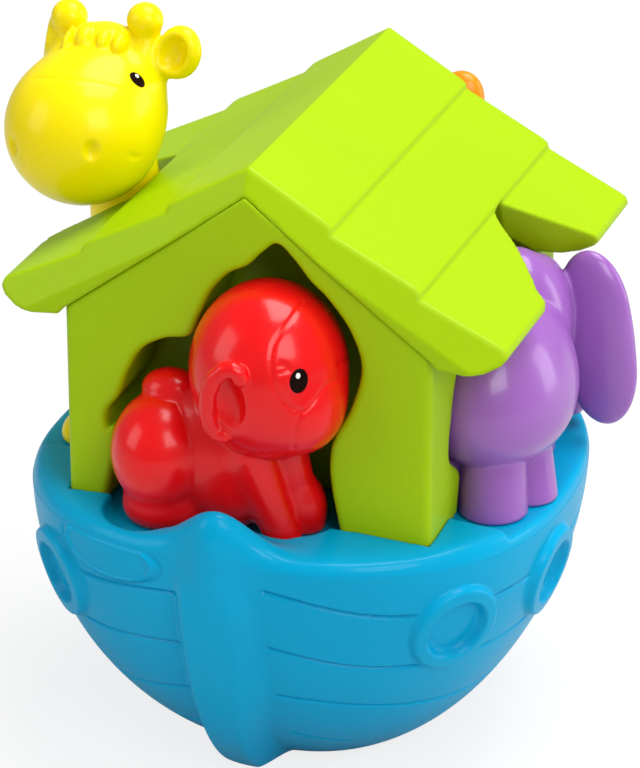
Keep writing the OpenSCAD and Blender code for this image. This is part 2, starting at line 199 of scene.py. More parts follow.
def grooved(x, y, z, f, lines):
    """The field with a soft channel along each chain of points; a line is its points, depth and width."""
    for pts, depth, width in lines:
        f = f + F32(depth) * np.exp(-(line_distance(x, y, z, pts) / F32(width)) ** 2)
    return f


# Field to mesh, by surface nets
SLAB_POINTS = 1500000
SETTLE_ROUNDS = 2
CORNERS = [(i, j, k) for i in (0, 1) for j in (0, 1) for k in (0, 1)]


def link(name, mesh):
    """New object of the mesh in the scene."""
    ob = bpy.data.objects.new(name, mesh)
    bpy.context.scene.collection.objects.link(ob)
    return ob


def build_mesh(name, verts, faces):
    """Smooth-shaded object from points in millimetres and faces of one size."""
    me = bpy.data.meshes.new(name)
    me.vertices.add(len(verts))
    me.vertices.foreach_set("co", (np.asarray(verts, np.float64) * MM).astype(F32).ravel())
    faces = np.asarray(faces, np.int32)
    count, sides = faces.shape
    me.loops.add(count * sides)
    me.loops.foreach_set("vertex_index", faces.ravel())
    me.polygons.add(count)
    me.polygons.foreach_set("loop_start", np.arange(0, count * sides, sides, dtype=np.int32))
    me.polygons.foreach_set("use_smooth", np.ones(count, bool))
    me.update(calc_edges=True)
    me.validate()
    return link(name, me)


def sample(field, lo, n, step):
    """The field's values on a grid, worked out slab by slab to spare memory."""
    ax = [(lo[i] + step * np.arange(n[i])).astype(F32) for i in range(3)]
    v = np.empty(tuple(n), F32)
    slab = max(1, int(SLAB_POINTS / (n[1] * n[2])))
    for i in range(0, n[0], slab):
        v[i:i + slab] = field(ax[0][i:i + slab, None, None], ax[1][None, :, None], ax[2][None, None, :])
    return v


def cell_points(v, idx):
    """The middle of the surface's crossings with the edges of each cell of idx, in grid steps."""
    acc, hits = np.zeros((len(idx), 3)), np.zeros(len(idx))
    for a in CORNERS:
        for axis in range(3):
            if a[axis]:
                continue
            b = list(a)
            b[axis] = 1
            va = v[idx[:, 0] + a[0], idx[:, 1] + a[1], idx[:, 2] + a[2]]
            vb = v[idx[:, 0] + b[0], idx[:, 1] + b[1], idx[:, 2] + b[2]]
            cross = (va < 0) != (vb < 0)
            p = np.array(a, float)[None, :] + np.zeros((len(idx), 3))
            p[:, axis] += np.where(cross, va / np.where(cross, va - vb, 1), 0)
            acc[cross] += p[cross]
            hits[cross] += 1
    return idx + acc / hits[:, None]


def cell_quads(inside, ids, n):
    """One quad for each grid edge that the surface crosses, between the four cells round it."""
    quads = []
    for axis in range(3):
        s0, s1 = [slice(None)] * 3, [slice(None)] * 3
        s0[axis] = slice(0, n[axis] - 1)
        s1[axis] = slice(1, n[axis])
        a, b = inside[tuple(s0)], inside[tuple(s1)]
        change = np.argwhere(a != b)
        u, w = (axis + 1) % 3, (axis + 2) % 3
        change = change[(change[:, u] > 0) & (change[:, w] > 0)
                        & (change[:, u] < n[u] - 1) & (change[:, w] < n[w] - 1)]
        start = a[change[:, 0], change[:, 1], change[:, 2]]
        cells = []
        for du, dw in ((-1, -1), (0, -1), (0, 0), (-1, 0)):
            c = change.copy()
            c[:, u] += du
            c[:, w] += dw
            cells.append(ids[c[:, 0], c[:, 1], c[:, 2]])
        q = np.stack(cells, 1)
        q[~start] = q[~start][:, ::-1]
        quads.append(q)
    return np.concatenate(quads)


def settle(pos, field, step):
    """Moves points onto the field's zero surface, each by at most half of the grid's step a round."""
    h = F32(0.15)
    for _ in range(SETTLE_ROUNDS):
        p = pos.astype(F32)
        x, y, z = p[:, 0], p[:, 1], p[:, 2]
        g = np.stack([(field(x + h, y, z) - field(x - h, y, z)),
                      (field(x, y + h, z) - field(x, y - h, z)),
                      (field(x, y, z + h) - field(x, y, z - h))], 1) / (2 * h)
        move = -(field(x, y, z) / np.maximum((g * g).sum(1), 0.05))[:, None] * g
        size = np.linalg.norm(move, axis=1, keepdims=True)
        pos += move * np.minimum(1, 0.5 * step / np.maximum(size, 1e-6))


def field_mesh(name, field, lo, hi, step):
    """Object of the field's zero surface between the corners lo and hi."""
    lo, hi = np.array(lo, float), np.array(hi, float)
    n = np.ceil((hi - lo) / step).astype(int) + 1
    v = sample(field, lo, n, step)
    inside = v < 0
    count = np.zeros(tuple(n - 1), np.int8)
    for i, j, k in CORNERS:
        count += inside[i:n[0] - 1 + i, j:n[1] - 1 + j, k:n[2] - 1 + k]
    active = (count > 0) & (count < 8)
    idx = np.argwhere(active)
    ids = np.full(active.shape, -1, np.int32)
    ids[active] = np.arange(len(idx), dtype=np.int32)
    pos = lo + step * cell_points(v, idx)
    settle(pos, field, step)
    return build_mesh(name, pos, cell_quads(inside, ids, n))


# Materials
WHITE = (1, 1, 1, 1)


def srgb(r, g, b):
    """Linear colour from the 0 to 255 values of a picture."""
    return tuple((c / 255 / 12.92) if c / 255 <= 0.04045 else ((c / 255 + 0.055) / 1.055) ** 2.4
                 for c in (r, g, b)) + (1.0,)


def add_node(tree, kind, values={}, links={}, **settings):
    """A node of a kind, with its settings, its plain values and the sockets that feed its other inputs."""
    n = tree.nodes.new("ShaderNode" + kind)
    for key, value in settings.items():
        setattr(n, key, value)
    for key, value in values.items():
        n.inputs[key].default_value = value
    for key, socket in links.items():
        tree.links.new(socket, n.inputs[key])
    return n


def noise(tree, scale, detail=2.0):
    """Noise in the object's own space, with scale features to the metre."""
    place = add_node(tree, "TexCoord").outputs["Object"]
    return add_node(tree, "TexNoise", {"Scale": scale, "Detail": detail}, {"Vector": place}).outputs["Fac"]


def spread(tree, value, low, high, start=0.0, end=1.0):
    """Maps the stretch of a value from start to end onto low to high."""
    ends = {"From Min": start, "From Max": end, "To Min": low, "To Max": high}
    return add_node(tree, "MapRange", ends, {"Value": value}).outputs["Result"]


def mixed(tree, share, a, b):
    """Colour between a and b."""
    return add_node(tree, "Mix", {"A": a, "B": b}, {"Factor": share}, data_type="RGBA").outputs["Result"]


def bump(tree, height, strength, distance, under=None):
    """Normal of a bump, over another one where that is given."""
    links = {"Height": height, "Normal": under} if under else {"Height": height}
    return add_node(tree, "Bump", {"Strength": strength, "Distance": distance}, links).outputs["Normal"]


def new_material(name, values):
    """A material, its node tree and its shader, with the shader's plain values set."""
    m = bpy.data.materials.new(name)
    m.use_nodes = True
    shader = m.node_tree.nodes["Principled BSDF"]
    for key, value in values.items():
        shader.inputs[key].default_value = value
    return m, m.node_tree, shader


def plastic(name, colour, deep, rough, coat, relief, grain, spec, glow=0.0, radius=(0.004, 0.002, 0.001)):
    """Moulded plastic: a faint drift of colour, a satin that varies over the surface, and a fine grain.

    rough is the range of roughness, coat its weight and roughness, relief and grain the strength and scale of
    the slow wave and of the fine grain, and glow and radius the subsurface weight and reach in metres."""
    m, tree, shader = new_material(name, {"IOR": 1.48, "Specular IOR Level": spec, "Coat Weight": coat[0],
                                          "Coat Roughness": coat[1]})
    if glow:
        for key, value in (("Weight", glow), ("Radius", radius), ("Scale", 1.0)):
            shader.inputs["Subsurface " + key].default_value = value
    drift = spread(tree, noise(tree, 14.0, 1.0), 0.0, 1.0, 0.2, 0.8)
    satin = spread(tree, noise(tree, 55.0, 1.0), rough[0], rough[1], 0.15, 0.85)
    wave = bump(tree, noise(tree, grain[0]), relief[0], 0.002)
    fine = bump(tree, noise(tree, grain[1], 1.0), relief[1], 0.0002, wave)
    tree.links.new(mixed(tree, drift, colour, deep), shader.inputs["Base Color"])
    tree.links.new(satin, shader.inputs["Roughness"])
    tree.links.new(fine, shader.inputs["Normal"])
    return m


def speckled(name, light, dark, rough, scale, values={}):
    """A plain finish with a fine mottling of its colour and its roughness."""
    m, tree, shader = new_material(name, values)
    spots = noise(tree, scale)
    tree.links.new(mixed(tree, spots, light, dark), shader.inputs["Base Color"])
    tree.links.new(spread(tree, spots, rough[0], rough[1]), shader.inputs["Roughness"])
    return m


def eye_ink_and_highlight(name, colour, rough, spec=0.5):
    """Finish of an eye's marks: printed ink for the dark oval, and white for the glint, a painted highlight
    standing for a lamp's reflection.
    """
    dark = tuple(v * 0.8 for v in colour[:3]) + (1,)
    return speckled(name, colour, dark, (rough, rough + 0.1), 700.0, {"Specular IOR Level": spec})


HARD_GRAIN, SOFT_GRAIN = (30, 2600), (26, 1500)
MAT = {
    "hull": plastic("hull_blue", srgb(0, 166, 212), srgb(0, 160, 206), (0.3, 0.38), (0.12, 0.08),
                    (0.04, 0.2), HARD_GRAIN, 0.07),
    "house": plastic("house_green", srgb(164, 200, 0), srgb(159, 195, 0), (0.4, 0.5), (0.08, 0.14),
                     (0.04, 0.25), HARD_GRAIN, 0.12),
    "monkey": plastic("monkey_red", srgb(238, 14, 18), srgb(230, 8, 14), (0.22, 0.3), (0.2, 0.06),
                      (0.03, 0.06), SOFT_GRAIN, 0.3, 0.08, (0.004, 0.001, 0.001)),
    "elephant": plastic("elephant_purple", srgb(156, 98, 184), srgb(150, 93, 178), (0.26, 0.34), (0.32, 0.06),
                        (0.04, 0.08), SOFT_GRAIN, 0.42, 0.06),
    "giraffe": plastic("giraffe_yellow", srgb(248, 228, 0), srgb(246, 222, 0), (0.26, 0.34), (0.12, 0.09),
                       (0.03, 0.06), SOFT_GRAIN, 0.16, 0.06, (0.003, 0.002, 0.0005)),
    "lion": plastic("lion_orange", srgb(244, 146, 8), srgb(240, 138, 4), (0.26, 0.34), (0.12, 0.12),
                    (0.03, 0.06), SOFT_GRAIN, 0.3, 0.06, (0.003, 0.0015, 0.0005)),
    "steel": speckled("zinc_plated_steel", (0.62, 0.62, 0.64, 1), (0.5, 0.5, 0.5, 1), (0.3, 0.5), 900.0,
                      {"Metallic": 1.0}),
    "eye_dark": eye_ink_and_highlight("eye_dark", srgb(26, 8, 4), 0.25, 0.06),
    # White dot of the eyes: a painted highlight standing for a lamp's reflection, not ink.
    "eye_painted_highlight": eye_ink_and_highlight("eye_painted_highlight", srgb(250, 250, 245), 0.25),
}


def dress(ob, look):
    """Gives the object one material."""
    ob.data.materials.clear()
    ob.data.materials.append(MAT[look])


def stand_in(ob, look, body, node):
    """Makes the object a piece that rides on the body and stands for the CAD node."""
    dress(ob, look)
    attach(ob, body)
    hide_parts(node)


NODES = {"steel": ["base_screws"], "hull": ["hull", "deck"], "house": ["house_walls", "roof"]}
for look in ("monkey", "elephant", "giraffe", "lion"):
    NODES[look] = [look, look + "_plug"]
for look, nodes in NODES.items():
    for node in nodes:
        dress(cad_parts[node], look)


# Floor, light and camera
def studio_floor():
    """Pale floor that the camera sees as nearly plain white, with the object's shadow on it."""
    s, z = 9000, -0.2
    floor = build_mesh("studio_floor", [(-s, -s, z), (s, -s, z), (s, s, z), (-s, s, z)], [(0, 1, 2, 3)])
    m, tree, shader = new_material("studio_white", {"Roughness": 0.7})
    seen = add_node(tree, "LightPath").outputs["Is Camera Ray"]
    tone = mixed(tree, seen, (0.6, 0.6, 0.6, 1), (0.9, 0.9, 0.9, 1))
    tree.links.new(tone, shader.inputs["Base Color"])
    glow = add_node(tree, "Emission", {"Color": WHITE, "Strength": 1.0}).outputs["Emission"]
    share = add_node(tree, "Math", {1: 0.8}, {0: seen}, operation="MULTIPLY").outputs["Value"]
    both = add_node(tree, "MixShader", {}, {"Fac": share, 1: shader.outputs["BSDF"], 2: glow})
    tree.links.new(both.outputs["Shader"], tree.nodes["Material Output"].inputs["Surface"])
    floor.data.materials.append(m)


def studio_world():
    """Soft light from all round, before a background that the camera sees as white."""
    world = bpy.data.worlds.new("studio")
    world.use_nodes = True
    bpy.context.scene.world = world
    tree = world.node_tree
    soft = tree.nodes["Background"]
    soft.inputs["Color"].default_value = WHITE
    soft.inputs["Strength"].default_value = 0.34
    seen = add_node(tree, "LightPath").outputs["Is Camera Ray"]
    white = add_node(tree, "Background", {"Color": WHITE, "Strength": 1.0}).outputs["Background"]
    both = add_node(tree, "MixShader", {}, {"Fac": seen, 1: soft.outputs["Background"], 2: white})
    tree.links.new(both.outputs["Shader"], tree.nodes["World Output"].inputs["Surface"])


def softbox(name, place, size, power):
    """Rectangular lamp at a place in metres, turned to the object's middle."""
    lamp = bpy.data.lights.new(name, "AREA")
    lamp.shape = "RECTANGLE"
    lamp.size, lamp.size_y = size
    lamp.energy = power
    ob = link(name, lamp)
    ob.location = place
    d = np.array([0, 0, 0.1]) - np.array(place, float)
    yaw = math.atan2(d[1], d[0]) - math.pi / 2
    pitch = math.atan2(d[2], math.hypot(d[0], d[1]))
    ob.rotation_euler = (math.pi / 2 + pitch, 0, yaw)


def add_camera():
    """The camera that sees the object as the photograph does."""
    data = bpy.data.cameras.new("camera")
    data.sensor_fit = "HORIZONTAL"
    data.sensor_width = 36.0
    data.lens = data.sensor_width * CAM_FOCAL / VIEW_W
    data.clip_end = 100.0
    cam = link("camera", data)
    cam.location = tuple(CAM_EYE * MM)
    cam.rotation_euler = (math.radians(90 - CAM_EL), 0, math.radians(CAM_AZ))
    bpy.context.scene.camera = cam


studio_floor()
studio_world()
softbox("key_right", (1.1, -1.0, 1.15), (0.9, 0.9), 13)
softbox("fill_left", (-1.3, -0.9, 0.75), (0.8, 1.0), 6)
softbox("top", (0.35, 0.25, 1.6), (1.2, 1.0), 26)
softbox("rim_right", (1.35, 0.75, 0.45), (0.5, 0.9), 5)
add_camera()
bpy.context.scene.view_settings.view_transform = "Standard"


# House: outlines are points of (x, z) on the front and back and (y, z) on the sides
HOUSE_X, HOUSE_FRONT, HOUSE_BACK, HOUSE_FOOT = 56.0, -63.4, 58.0, 83.1
HOUSE_ROUND, POCKET_ROUND, POCKET_FILLET = 2.6, 2.4, 3.0
FRONT_REACH, BACK_REACH, RIGHT_REACH, LEFT_REACH = -34.0, 31.0, 33.5, -38.0
ELEPHANT_ROOM = 0.3
FRONT_OUTLINE = smooth_outline([
    (25, 60), (25.2, 105), (27, 116), (31.5, 125), (34.8, 138), (31.6, 149), (25, 158), (19.5, 163),
    (14.5, 169), (9.6, 173), (4.8, 169.5), (0.5, 165), (-5.5, 161.5), (-11, 155), (-14.5, 147),
    (-17.5, 140.5), (-25, 138.6), (-32.5, 134), (-37, 126), (-39.6, 118.5), (-43.6, 112.5),
    (-43.4, 107.5), (-40.6, 104.5), (-40.6, 60)])
RIGHT_OUTLINE = smooth_outline([
    (-36, 60), (-36, 84), (-34, 89.5), (-34.5, 97), (-43.5, 104.5), (-44.3, 112), (-41, 121), (-36, 130),
    (-31, 138), (-24, 146), (-14, 155), (-2, 161.5), (12.7, 163.2), (26, 157), (37, 147), (42, 131),
    (46, 118), (49, 104), (49, 60)])
LEFT_OUTLINE = smooth_outline([
    (33.8, 60), (33.8, 78), (33.8, 120), (31.5, 150), (22, 164), (8, 171), (-8, 171), (-22, 164), (-30, 150),
    (-31, 120), (-31, 78), (-31, 60)])
BACK_HALF = [(30.5, 60), (30.5, 76), (30.5, 104), (30.5, 130), (30.2, 150), (22, 165), (8, 173.5)]
BACK_OUTLINE = smooth_outline(BACK_HALF + [(-x, z) for x, z in reversed(BACK_HALF)])
GABLE_TOP, GABLE_EAVE = DECK + 98.6, DECK + 56.6


def elephant_rump(x, y, z, grow=0.0):
    """The elephant's round body, grown on all sides."""
    upper = ell(x, y, z, (60, -11, 118), (21.5 + grow, 31 + grow, 24 + grow))
    lower = ell(x, y, z, (60.3, -12, 112.5), (22.2 + grow, 30.3 + grow, 20.3 + grow))
    return smin(upper, lower, 4.0)


def near_hind_leg(x, y, z, grow=0.0):
    return cone(x, y, z, (63.0, -25.0, 107), (64.8, -30.2, 80), 9.0 + grow, 10.5 + grow)


def far_hind_leg(x, y, z, grow=0.0):
    return cone(x, y, z, (48, -24, 107), (46, -26, 80), 8.6 + grow, 9.3 + grow)


def pockets(x, y, z):
    """The room of the four pockets. The right one clears the elephant's rump and hind legs."""
    front = smax(polygon2(x, z, FRONT_OUTLINE), y - F32(FRONT_REACH), POCKET_FILLET)
    back = smax(polygon2(x, z, BACK_OUTLINE), F32(BACK_REACH) - y, POCKET_FILLET)
    right = smax(polygon2(y, z, RIGHT_OUTLINE), F32(RIGHT_REACH) - x, POCKET_FILLET)
    left = smax(polygon2(y, z, LEFT_OUTLINE), x - F32(LEFT_REACH), POCKET_FILLET)
    rump = smin(elephant_rump(x, y, z, ELEPHANT_ROOM), near_hind_leg(x, y, z, ELEPHANT_ROOM), 0.6)
    right = np.minimum(right, np.minimum(rump, far_hind_leg(x, y, z, ELEPHANT_ROOM)))
    return np.minimum(np.minimum(front, back), np.minimum(right, left))


def gable(x, z):
    """Distance above the sloping top of the walls."""
    rise = GABLE_TOP - GABLE_EAVE
    slope = math.hypot(rise, HOUSE_X)
    return (z - F32(GABLE_TOP)) * F32(HOUSE_X / slope) + np.abs(x) * F32(rise / slope)


def walls_field(x, y, z):
    block = rbox(x, y, z, (-HOUSE_X, HOUSE_FRONT, HOUSE_FOOT), (HOUSE_X, HOUSE_BACK, 260), HOUSE_ROUND)
    return smax(smax(block, -pockets(x, y, z), POCKET_ROUND), gable(x, z) - F32(0.2), 0.4)


walls = field_mesh("house_walls_visual", walls_field, (-58, -66, 81), (58, 60, 188), 0.75)
stand_in(walls, "house", "ark", "house_walls")

# Roof
ROOF_PITCH = 46.1 / 77.4
ROOF_UNDER, ROOF_RIDGE, ROOF_ROUND = 98.9, 106.9, 0.8
# Half section of (x, height over the deck), from under the ridge round the eave and up the planks
ROOF_HALF = [
    (-12, ROOF_UNDER - 2), (0, ROOF_UNDER), (56.2, 56.9), (57.5, 55.2), (66, 54.4), (71.5, 55.4),
    (75.6, 57.4), (77.3, 59.4), (76.6, 61.6), (74.6, 62.8), (51.7, 74.0), (51.4, 75.8), (49.6, 77.2),
    (25.2, 90.0), (24.8, 91.9), (23.0, 93.2), (0, ROOF_RIDGE), (-12, ROOF_RIDGE)]
# The notches in the eaves are (y, z).
NOTCH_RIGHT = np.concatenate([smooth_outline([
    (-31, 131), (-26.5, 140), (-20.5, 148.6), (-14, 151.2), (-8.2, 153.2), (-1.5, 155.8), (4.7, 159),
    (10.1, 160.8), (14.4, 161.5), (16.4, 161.2), (18.9, 159), (23.5, 155.8), (27.3, 153), (32.6, 148.6),
    (37, 144), (41, 137), (42, 131)], 4), [(42, 60), (-31, 60)]])
NOTCH_LEFT = smooth_outline([
    (33.5, 60), (33.8, 120), (33.5, 140), (31, 148.1), (27, 154.1), (23.5, 158), (20, 160.6), (16, 161.4),
    (0, 161.4), (-6, 161), (-11.5, 160), (-14, 158.6), (-16, 156.5), (-19.5, 154.1), (-23.5, 150.5),
    (-27, 148.1), (-31, 140), (-31, 60)], 4)


def inset_outline(pts, r):
    """The outline moved inwards by r, by mitred corners; the points run counter-clockwise."""
    p = np.array(pts, float)
    out = []
    for i in range(len(p)):
        a, b, c = p[i - 1], p[i], p[(i + 1) % len(p)]
        e1, e2 = (b - a) / np.linalg.norm(b - a), (c - b) / np.linalg.norm(c - b)
        n1, n2 = np.array([-e1[1], e1[0]]), np.array([-e2[1], e2[0]])
        m = n1 + n2
        out.append(b + m * r / max(0.35, float(m @ n1)))
    return np.array(out)


ROOF_SECTION = inset_outline([(x, z + DECK) for x, z in ROOF_HALF], ROOF_ROUND)


def roof_field(x, y, z):
    ax = np.abs(x)
    slab = polygon2(ax, z, ROOF_SECTION) - F32(ROOF_ROUND)
    depth = np.clip(F32(DECK + ROOF_RIDGE) - F32(ROOF_PITCH) * ax - z, 0, 11)
    ends = np.where(y > 0, F32(63.3) + F32(0.08) * depth, F32(59.2) + F32(0.5) * depth)
    slab = smax(slab, (np.abs(y) - ends) * F32(0.88), 1.1)
    # In the eave, the right notch ends at a side that slants with the distance out and below the planks.
    plank_top = F32(DECK + 74.0) - F32(0.489) * (x - 51.7)
    side = F32(15.2) + F32(0.56) * np.maximum(x - F32(50.9), 0) + F32(0.45) * np.maximum(plank_top - z, 0)
    right = np.maximum(polygon2(y, z, NOTCH_RIGHT), F32(RIGHT_REACH) - x)
    right = np.maximum(right, np.where(x > 45, (y - side) * F32(0.8), F32(-50)))
    left = np.maximum(polygon2(y, z, NOTCH_LEFT), x - F32(LEFT_REACH))
    return smax(smax(slab, -right, 1.2), -left, 1.2)


roof = field_mesh("roof_visual", roof_field, (-79, -66.5, 139), (79, 66.5, 196), 0.72)
stand_in(roof, "house", "ark", "roof")

# Hull
# The plan is a superellipse of power PLAN_P round HULL_CY, with its radii to the side, bow and stern.
PLAN_P, PLAN_SIDE, PLAN_BOW, PLAN_STERN, HULL_CY = 2.3, 81.5, 82.0, 90.0, -8.0
# The section is one too, of power BELLY_P, from the lowest point, KEEL, up to the rim.
BELLY_P, KEEL, RIM, RIM_RISE, SEAM_DROP = 1.92, -11.5, DECK - 5.5, 3.5, 2.2
SKIN, CORNER_SMOOTH = 2.6, math.radians(50)
POSTS = [(x, y) for x in (-21, 17) for y in (-22, 16)]
BOSS_R, BOSS_TOP, COUNTERBORE_R, COUNTERBORE_TOP, SCREW_R = 6.2, 78.0, 3.8, 68.0, 1.7
INNER_LEVELS = (74, 62, 48, 34, 22, 12, 5, SKIN)
# Plank grooves: the height at the sides, then the rise to the bow and its width in degrees, right and left
PLANKS = [(66.0, 12.3, 27, 6.0, 26), (47.6, 10.8, 25, 6.0, 26), (26.0, 12.0, 45, 10.0, 24),
          (11.0, 10.0, 24, 6.0, 24)]
GROOVE_DEPTH, GROOVE_HALF = 1.15, 0.55
# Portholes: the angle from the bow in degrees, and the height
PORTS = [(50.2, 59.8), (82.5, 60.6), (-43.9, 60.6), (-82.5, 60.6), (132, 59.8), (-132, 59.8)]
RING_HEIGHT, DISC_DEPTH = 2.3, 0.9
# Pixels of the bare oval plate on the bow: its middle, its end and its top
PLATE_MIDDLE, PLATE_END, PLATE_TOP = (105.5, 553), (155, 572.5), (111.5, 533.5)


def smoothstep(v, a, b):
    t = np.clip((v - a) / (b - a), 0, 1)
    return t * t * (3 - 2 * t)


def stem_share(x, z):
    """The stem's section: a crisp left edge and a soft right one, both soft where it meets the rim."""
    low = 1 - smoothstep(z, 8, 45)
    crisp = smoothstep(x, -13.2, -8.6) * (1 - smoothstep(x, 4.5 - 3.5 * low, 14.5 - 6.5 * low))
    crisp = crisp * (1 - 0.0009 * x * x)
    soft = np.exp(-((x + 0.3) / 9.4) ** 2)
    return crisp + (soft - crisp) * smoothstep(z, 66, 80)


def stem_bump(z):
    """How far the stem stands out of the hull."""
    return 5 + 8 * (1 - np.clip(z / 60, 0, 1)) ** 2


def belly(z):
    """Share of the plan that the hull has at a height."""
    u = np.clip((RIM - z) / (RIM - KEEL), 0, 1)
    return (1 - u ** BELLY_P) ** (1 / BELLY_P)


def plan_xy(a, k, inset=0.0):
    """Points of the plan at the angles a, scaled by k and then moved inwards."""
    ca, sa = np.cos(a), np.sin(a)
    ry = np.where(sa < 0, PLAN_BOW, PLAN_STERN)
    return ((PLAN_SIDE * k - inset) * np.sign(ca) * np.abs(ca) ** (2 / PLAN_P),
            HULL_CY + (ry * k - inset) * np.sign(sa) * np.abs(sa) ** (2 / PLAN_P))


def plan_place(x, y):
    """A point's distance behind the plan's middle, the plan's radius that way, and its share of the plan."""
    dy = y - F32(HULL_CY)
    ry = np.where(dy < 0, F32(PLAN_BOW), F32(PLAN_STERN))
    power = np.abs(x / F32(PLAN_SIDE)) ** F32(PLAN_P) + np.abs(dy / ry) ** F32(PLAN_P)
    return dy, ry, power ** F32(1 / PLAN_P) + F32(1e-5)


def rim_z(end_share):
    """The rim's height, which rises to the bow and the stern."""
    return RIM + RIM_RISE * end_share


def hull_field(x, y, z):
    """Distance outside the hull's smooth outer form, its stem included."""
    out = y + np.where(y < 0, stem_bump(np.maximum(z, 0)) * stem_share(x, z), 0)
    dy, _, s = plan_place(x, out)
    r = np.sqrt(x * x + dy * dy) / s
    slope = (belly(z + 1) - belly(z - 1)) / 2
    return (s - belly(z)) * r / np.sqrt(1 + (r * slope) ** 2)


def hull_hit(origin, direction):
    """The hull's surface along a line from the inside."""
    o, v = np.array(origin, float), np.array(direction, float)
    near, far = 0.0, 140.0
    for _ in range(50):
        t = (near + far) / 2
        inside = value_at(hull_field, o + v * t) < 0
        near, far = (t, far) if inside else (near, t)
    return o + v * near


PLATE_C = on_surface(PLATE_MIDDLE, hull_field)
PLATE_E1, PLATE_E2 = (on_surface(px, hull_field) - PLATE_C for px in (PLATE_END, PLATE_TOP))
PLATE_N = np.cross(PLATE_E1, PLATE_E2)
PLATE_N = PLATE_N / np.linalg.norm(PLATE_N)


def add_ports(p, h):
    """The relief with a raised ring round a sunk disc for each porthole."""
    for deg, port_z in PORTS:
        a = math.radians(deg)
        c = hull_hit((0.0, HULL_CY, port_z), (math.sin(a), -math.cos(a), 0.0))
        rho = np.linalg.norm(p - c, axis=-1)
        ring = smoothstep(rho, 8.7, 10.2) * (1 - smoothstep(rho, 13.2, 15.2))
        disc = 1 - smoothstep(rho, 8.2, 9.4)
        h = h * smoothstep(rho, 15.0, 16.5) + RING_HEIGHT * ring - DISC_DEPTH * disc
    return h


def add_plate(p, h):
    """The relief with the oval plate, raised, with a bead inside its edge and a line round it."""
    q = p - PLATE_C
    e1, e2 = PLATE_E1, PLATE_E2
    g = np.array([[e1 @ e1, e1 @ e2], [e1 @ e2, e2 @ e2]])
    w = np.linalg.inv(g) @ np.stack([(q @ e1).ravel(), (q @ e2).ravel()])
    rad = np.sqrt((w ** 2).sum(0)).reshape(h.shape)
    rad = np.where(np.abs(q @ PLATE_N) < 12, rad, 9)
    h = h * smoothstep(rad, 0.98, 1.06) + 0.5 * (1 - smoothstep(rad, 0.97, 1.06))
    return h + 0.75 * np.exp(-((rad - 0.92) / 0.045) ** 2) - 0.5 * np.exp(-((rad - 1.08) / 0.035) ** 2)


def hull_relief(p, n):
    """Height of the moulded relief over the smooth hull: plank grooves, porthole rings and the oval plate."""
    x, y, z = p[..., 0], p[..., 1], p[..., 2]
    phi = np.degrees(np.arctan2(x, -(y - HULL_CY)))
    off_stem = smoothstep(np.abs(x - 1.2 + np.where(y > 0, 999, 0)), 12.6, 14.0)
    steep = np.maximum(0.25, np.sqrt(np.maximum(0, 1 - n[..., 2] ** 2)))
    h = np.zeros(x.shape)
    for plank in PLANKS:
        low, right, right_w, left, left_w = plank
        rise = np.where(phi > 0, right * np.exp(-(phi / right_w) ** 2), left * np.exp(-(phi / left_w) ** 2))
        d = (z - low - rise) / steep
        fade = 0.7 * (1 - smoothstep(np.abs(phi), 20, 40)) if plank is PLANKS[-1] else 1.0
        h -= GROOVE_DEPTH * fade * off_stem * np.exp(-(d / GROOVE_HALF) ** 2)
    return add_plate(p, add_ports(p, h))


def even(f, curve, count):
    """Values of f at count points spaced evenly along a curve, given as arrays of its two coordinates."""
    run = np.concatenate([[0], np.cumsum(np.hypot(np.diff(curve[0]), np.diff(curve[1])))])
    return np.interp(np.arange(count) / count * run[-1], run, f)


def hull_skin():
    """The angles round the hull, the seam's height at each, and the outer skin's points, row by row up."""
    dense = np.linspace(-math.pi / 2, 1.5 * math.pi, 40001)
    columns, rows = ((1040, 300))
    a = even(dense, plan_xy(dense, 1.0), columns)
    seam = rim_z(np.sin(a) ** 2) - SEAM_DROP
    up = np.linspace(0, 1, 4001)
    w = np.append(even(up, (75 * belly(up * 80), up * 80), rows - 1), 1.0)
    z = w[:, None] * seam[None, :]
    x, y = plan_xy(a[None, :] + 0 * z, belly(z))
    y = y - np.where(y < HULL_CY, stem_bump(z) * stem_share(x, z), 0)
    p = np.stack([x, y, z], -1)
    n = np.cross(np.roll(p, -1, 1) - np.roll(p, 1, 1), np.gradient(p, axis=0))
    n /= np.linalg.norm(n, axis=-1, keepdims=True)
    raised = smoothstep(z, 0.3, 3.0) * (1 - smoothstep(z, seam - 1.2, seam))
    cut = smoothstep(z, 0.3, 3.0) * (1 - smoothstep(z, seam - 0.05, seam))
    relief = hull_relief(p, n)
    return a, seam, p + n * (relief * np.where(relief > 0, raised, cut))[..., None]


def ring_faces(count, rows):
    """Quads between rows of points, each a closed ring."""
    i = np.arange(count)
    j = (i + 1) % count
    low = [r * count for r in range(rows - 1)]
    return np.concatenate([np.stack([b + i, b + j, b + count + j, b + count + i], 1) for b in low])


def circle(cx, cy, r, n=40):
    turns = [2 * math.pi * i / n for i in range(n)]
    return [(cx + r * math.cos(a), cy + r * math.sin(a)) for a in turns]


def plate_with_holes(outer, r, z, up):
    """Flat plate at z inside an outline, with a hole of radius r for each post, as points and triangles."""
    verts, edges = [], []
    for loop in [outer] + [circle(cx, cy, r) for cx, cy in POSTS]:
        b = len(verts)
        verts += [Vector((float(q[0]), float(q[1]))) for q in loop]
        edges += [(b + i, b + (i + 1) % len(loop)) for i in range(len(loop))]
    v, _, f, _, _, _ = delaunay_2d_cdt(verts, edges, [], 1, 1e-5)
    pts = np.array([(q.x, q.y, z) for q in v])
    keep = []
    for t in f:
        mid = pts[list(t)].mean(0)
        if all(math.hypot(mid[0] - cx, mid[1] - cy) > r * 0.98 for cx, cy in POSTS):
            a, b, c = (pts[i] for i in t)
            turn = (b[0] - a[0]) * (c[1] - a[1]) - (b[1] - a[1]) * (c[0] - a[0])
            keep.append(list(t) if (turn > 0) == up else list(t)[::-1])
    return pts, keep


